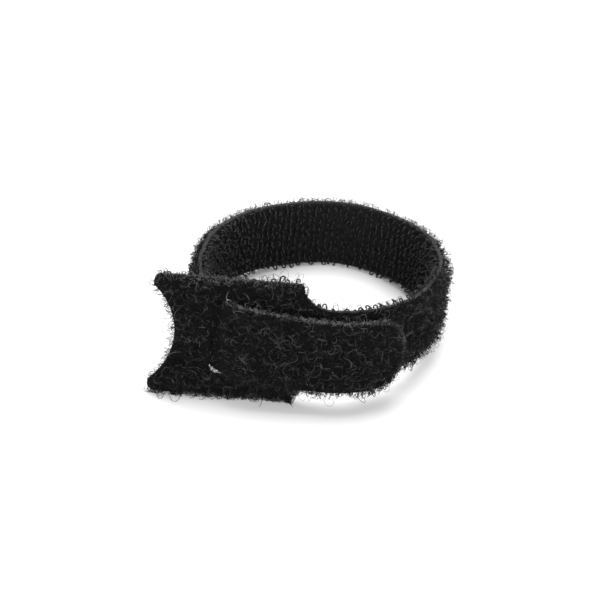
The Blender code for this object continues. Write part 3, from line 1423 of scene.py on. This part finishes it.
    def shoulder_spots(self) -> Array:
        """Places on the head's two shoulders, where it narrows to the strap.

        Returns:
            The places along and across the tape.
        """
        cut, draw, count = self.cut, self.draw, self.shoulder_fibres
        along = np.linspace(cut.head_length - 3 * MM, cut.head_length + 3 * MM, 600)
        width = cut.half_width(along)
        across = draw.uniform(cut.strap_half + 0.1 * MM, cut.head_half - 0.1 * MM, count)
        where = np.interp(-across, -width, along) - draw.uniform(0.0, 0.4, count) * MM
        return np.stack([where, np.where(draw.random(count) < 0.7, -across, across)], 1)

    def paths(self, growth: Growth, spots: Array) -> Array:
        """The centre lines of fibres.

        Args:
            growth: How they grow.
            spots: Where they are rooted.

        Returns:
            Their points.
        """
        draw, habit, count = self.draw, growth.value, len(spots)
        share = np.linspace(0, 1, self.sections + 1)[None]
        radius, turn, tilt, drift, height = (
            draw.uniform(*pair, (count, 1))
            for pair in (habit.radius, habit.turn, habit.tilt, habit.drift, habit.height)
        )
        heading, first, way = draw.uniform(0, TURN, (3, count, 1))
        if growth is Growth.LOOP:
            first = np.full_like(first, -math.pi / 2)
        angle = first + turn * share
        u, v = radius * (np.cos(angle) - np.cos(first)), radius * (np.sin(angle) - np.sin(first))
        along = u * np.cos(heading) - v * np.cos(tilt) * np.sin(heading)
        across = u * np.sin(heading) + v * np.cos(tilt) * np.cos(heading)
        up = v * np.sin(tilt) + height * np.sin(math.pi * share) ** 0.7
        along = along + drift * (share - 0.5) * np.cos(way)
        across = across + drift * (share - 0.5) * np.sin(way)
        for axis in (along, across, up):
            for order in (1, 2):
                size = habit.wobble / order * draw.normal(0, 1, (count, 1))
                phase = draw.uniform(0, 6.3, (count, 1))
                axis += size * np.sin(TURN * order * share + phase)
        room = self.headroom(*spots.T)[:, None]
        if growth not in (Growth.HIGHLIGHT_SELVEDGE, Growth.HIGHLIGHT_CREST):
            highest = 1.1 if growth is Growth.FUZZ else 2.0
            up = up * np.minimum(self.brushed(spots[:, :1]), highest)
        free = 0.25 + 0.75 * room
        rooted_ends = np.clip(np.minimum(share, 1 - share) * 6, 0, 1)
        up = (np.abs(up) * room) * rooted_ends - 0.12 * (1 - rooted_ends)
        set_on = self.set_on_rim if growth is Growth.HIGHLIGHT_SELVEDGE else self.set_on_face
        return set_on(spots, along * MM * free, across * MM * free, up * MM)

    def set_on_rim(self, spots: Array, along: Array, across: Array, up: Array) -> Array:
        """Sets fibre shapes on the ground's cut edge, where they stand out across the tape.

        Args:
            spots: Places near the edge that they are rooted on.
            along: Their points' places along the tape, from the root.
            across: Their places through the tape's thickness, from the root.
            up: Heights above the edge.

        Returns:
            The points.
        """
        cut = self.cut
        past = np.clip(spots[:, 0] - cut.tip_centre, 0, None)
        side = np.arctan2(spots[:, 1], past)
        at_tip = (past > 0)[:, None]
        width = cut.half_width(spots[:, 0])[:, None]
        rim = np.sign(spots[:, 1])[:, None] * (width - self.rim_inset + up)
        reach = cut.strap_half - self.rim_inset + up
        at_along = np.where(at_tip, cut.tip_centre + reach * np.cos(side)[:, None], spots[:, :1])
        at_across = np.where(at_tip, reach * np.sin(side)[:, None], rim)
        depth = (np.sin(spots[:, 0] / MM * 37.0) * 0.26 * MM)[:, None]
        return self.lay.place(cut, at_along + along, at_across, depth + across, FIBRE_CLEARANCE)

    def set_on_face(self, spots: Array, along: Array, across: Array, up: Array) -> Array:
        """Sets flat fibre shapes on the tape's outer face, fanned out over its edges.

        Args:
            spots: Where they are rooted.
            along: Their points' places along the tape, from the root.
            across: The same across it.
            up: Heights above the pile's bed.

        Returns:
            The points.
        """
        cut = self.cut
        half = cut.half_width(spots[:, 0])
        near = np.clip(1 - (half - np.abs(spots[:, 1])) / self.edge_fan, 0, 1)
        near = near * np.sign(spots[:, 1])
        past_tip = np.clip((spots[:, 0] - (cut.length - self.tip_fan)) / self.tip_fan, 0, 1)
        from_notch = np.hypot(spots[:, 0] - cut.notch_centre, spots[:, 1]) - cut.notch_radius
        at_notch = np.clip(1 - from_notch / self.notch_fan, 0, 1)
        fan, fan_end = (near * 1.15)[:, None], (past_tip - at_notch * 1.2)[:, None]
        base = cut.bed(*spots.T)[:, None]
        at_along = spots[:, :1] + along + up * np.sin(fan_end)
        at_across = spots[:, 1:] + across + up * np.sin(fan)
        # Past the edge a fibre falls back round it instead of standing on thin air.
        width = cut.half_width(np.clip(at_along, 0, cut.length))
        over = np.clip(np.abs(at_across) - width, 0, None)
        out = base + up * np.cos(fan) * np.cos(fan_end) - 0.45 * over
        return self.lay.place(cut, at_along, at_across, out, FIBRE_CLEARANCE)

    def tubes(self, name: str, paths: Array, thick: Array, own: Array) -> Object:
        """Draws a closed tube round each centre line.

        Args:
            name: The piece's name.
            paths: The centre lines.
            thick: Each fibre's radius.
            own: Each fibre's own number, for its tone.

        Returns:
            The piece, without a finish.
        """
        count, stops = paths.shape[:2]
        ways = np.gradient(paths, axis=1)
        ways /= np.linalg.norm(ways, axis=2, keepdims=True) + 1e-12
        steep = np.abs(ways[:, :1, 2]) >= 0.9
        side = np.cross(ways[:, 0], np.where(steep, [[1, 0, 0]], [[0, 0, 1]]))
        sides = [side / np.linalg.norm(side, axis=1, keepdims=True)]
        for i in range(1, stops):
            kept = sides[-1] - ways[:, i] * (sides[-1] * ways[:, i]).sum(1, keepdims=True)
            sides.append(kept / (np.linalg.norm(kept, axis=1, keepdims=True) + 1e-12))
        first = np.stack(sides, 1)
        second = np.cross(ways, first)[:, :, None]
        taper = np.ones(stops)
        taper[[0, -1]] = 0.6
        spread = (thick[:, None] * taper)[..., None, None]
        turns = (np.arange(self.sides) * TURN / self.sides)[:, None]
        ring = np.cos(turns) * first[:, :, None] + np.sin(turns) * second
        points = (paths[:, :, None] + spread * ring).reshape(count, -1, 3)
        share = np.repeat(np.linspace(0, 1, stops), self.sides)
        return copies(name, points, self.tube_faces(stops), own, share)

    def tube_faces(self, stops: int) -> list[list[int]]:
        """The faces of one tube.

        Args:
            stops: How many rings of points it has.

        Returns:
            The numbers of each face's points.
        """
        n, faces = self.sides, []
        for low in range(0, (stops - 1) * n, n):
            for i in range(n):
                j = (i + 1) % n
                faces.append([low + i, low + j, low + n + j, low + n + i])
        last = (stops - 1) * n
        return [*faces, list(range(n))[::-1], list(range(last, last + n))]

    def groups(self) -> list[tuple[Growth, Array]]:
        """Where each kind of fibre is rooted.

        Returns:
            The kinds with their places, in the order in which their shapes are drawn.
        """
        face = self.face_spots(self.density)
        standing = self.draw.random(len(face)) < self.loop_share
        edges = 2 * self.cut.length / MM
        return [
            (Growth.CURL, face[~standing]),
            (Growth.LOOP, face[standing]),
            (Growth.STRAND, self.face_spots(self.strand_density)),
            (Growth.FUZZ, self.rim_spots(int(self.fuzz_per_mm * edges), 0.62)),
            # Two in three of these painted-highlight rim fibres sit on the upper edge.
            (Growth.HIGHLIGHT_SELVEDGE, self.rim_spots(int(self.selvedge_per_mm * edges), 0.35)),
            (Growth.HAIR, self.rim_spots(self.hairs, 0.6)),
            (Growth.FUZZ, self.slot_spots()),
            (Growth.FUZZ, self.notch_spots()),
            (Growth.HIGHLIGHT_CREST, self.highlight_crest_spots()),
            (Growth.FUZZ, self.shoulder_spots()),
            (Growth.HIGHLIGHT_CREST, self.sole_spots()),
        ]

    def build(self, fibre: bpy.types.Material) -> list[Object]:
        """Grows the pile and the edge fuzz, and parts them into pieces along the tape.

        Args:
            fibre: The fibres' finish.

        Returns:
            The pieces.
        """
        grown = []
        for growth, spots in self.groups():
            habit, count = growth.value, len(spots)
            paths = self.paths(growth, spots)
            thick = self.draw.uniform(*habit.thickness, count) * MM
            lowest, highest = habit.tones
            own = lowest + (highest - lowest) * self.draw.random(count) ** 1.5
            grown.append((spots, paths, thick, own))
        grown.append((
            np.array([(stray.along, stray.across) for stray in STRAYS]) * MM,
            np.array([stray.path(self.cut, self.lay, self.sections) for stray in STRAYS]),
            np.full(len(STRAYS), self.stray_thickness),
            np.array([stray.tone for stray in STRAYS]),
        ))
        spots, paths, thick, own = (np.concatenate(kind) for kind in zip(*grown))
        pieces = []
        for name, low, high in self.parts:
            chosen = (spots[:, 0] >= low * MM) & (spots[:, 0] < high * MM)
            piece = self.tubes(name, paths[chosen], thick[chosen], own[chosen])
            pieces.append(rooted(piece, fibre))
            LOG.info("%s: %d fibres, %d faces", name, chosen.sum(), len(piece.data.polygons))
        return pieces


# Studio


@dataclass(frozen=True)
class Studio:
    """The pale floor, the soft lights and the camera. Lengths in metres, angles in degrees."""

    aim: tuple = (0.00005, 0.0, 0.00514)
    azimuth: float = -5.39
    elevation: float = 30.31
    distance: float = 0.24305
    roll: float = 7.33
    lens: float = 87.0
    sensor: float = 36.0
    floor_size: float = 6.0
    sky: float = 0.45
    softbox_size: float = 0.50
    key_place: tuple = (0.0, 0.20, 0.65)
    key_watts: float = 5.6
    fill_place: tuple = (0.0, -0.85, 0.31)
    fill_watts: float = 9.5

    def camera(self) -> None:
        """Sets the camera at the photograph's viewing angle, leaning as the photograph does."""
        data = bpy.data.cameras.new("camera")
        data.lens = self.lens
        data.sensor_width = self.sensor
        data.clip_start = 0.01
        camera = linked(data)
        a, e = math.radians(self.azimuth), math.radians(self.elevation)
        back = Vector((math.sin(a) * math.cos(e), -math.cos(a) * math.cos(e), math.sin(e)))
        roll = Matrix.Rotation(math.radians(self.roll), 3, "Z")
        turn = (back.to_track_quat("Z", "Y").to_matrix() @ roll).to_4x4()
        camera.matrix_world = Matrix.Translation(Vector(self.aim) + back * self.distance) @ turn
        bpy.context.scene.camera = camera

    def floor(self) -> None:
        """Lays the floor."""
        deselect_all()
        bpy.ops.mesh.primitive_plane_add(size=self.floor_size)
        floor = bpy.context.object
        floor.name = "floor"
        floor.data.materials.append(PaleFloor().make())

    def softbox(self, name: str, place: tuple, watts: float) -> None:
        """Hangs one square softbox that faces the tie.

        Args:
            name: Its name.
            place: Where it hangs.
            watts: Its power.
        """
        data = bpy.data.lights.new(name, "AREA")
        data.size = self.softbox_size
        data.energy = watts
        lamp = linked(data)
        lamp.location = place
        lamp.rotation_euler = Vector(place).to_track_quat("Z", "Y").to_euler()

    def light(self) -> None:
        """Hangs the lights and sets the sky."""
        self.softbox("top_softbox", self.key_place, self.key_watts)
        self.softbox("front_fill", self.fill_place, self.fill_watts)
        world = bpy.data.worlds.new("studio")
        world.use_nodes = True
        sky = world.node_tree.nodes["Background"]
        sky.inputs["Color"].default_value = (1.0, 1.0, 1.0, 1.0)
        sky.inputs["Strength"].default_value = self.sky
        bpy.context.scene.world = world
        bpy.context.scene.view_settings.view_transform = "Standard"


def main() -> None:
    """Builds the tie piece by piece, then the studio round it."""
    logging.basicConfig(level=logging.INFO, format="%(name)s: %(message)s")
    studio = Studio()
    studio.camera()
    lay = TapeLay()
    cut = TapeCut(length=lay.length, tail=lay.tail_length)
    LOG.info("tape: %.2f mm long", lay.length / MM)

    ground = Ground(cut, lay).build(WovenGround().make(), PileBed().make())
    LOG.info("woven ground: %d faces", len(ground.data.polygons))
    hooks = HookField(cut, lay).build(HookFilament().make())
    LOG.info("hooks: %d faces", len(hooks.data.polygons))
    pile = Pile(cut, lay).build(NylonFibre().make())
    studio.floor()
    studio.light()


if __name__ == "__main__":
    main()
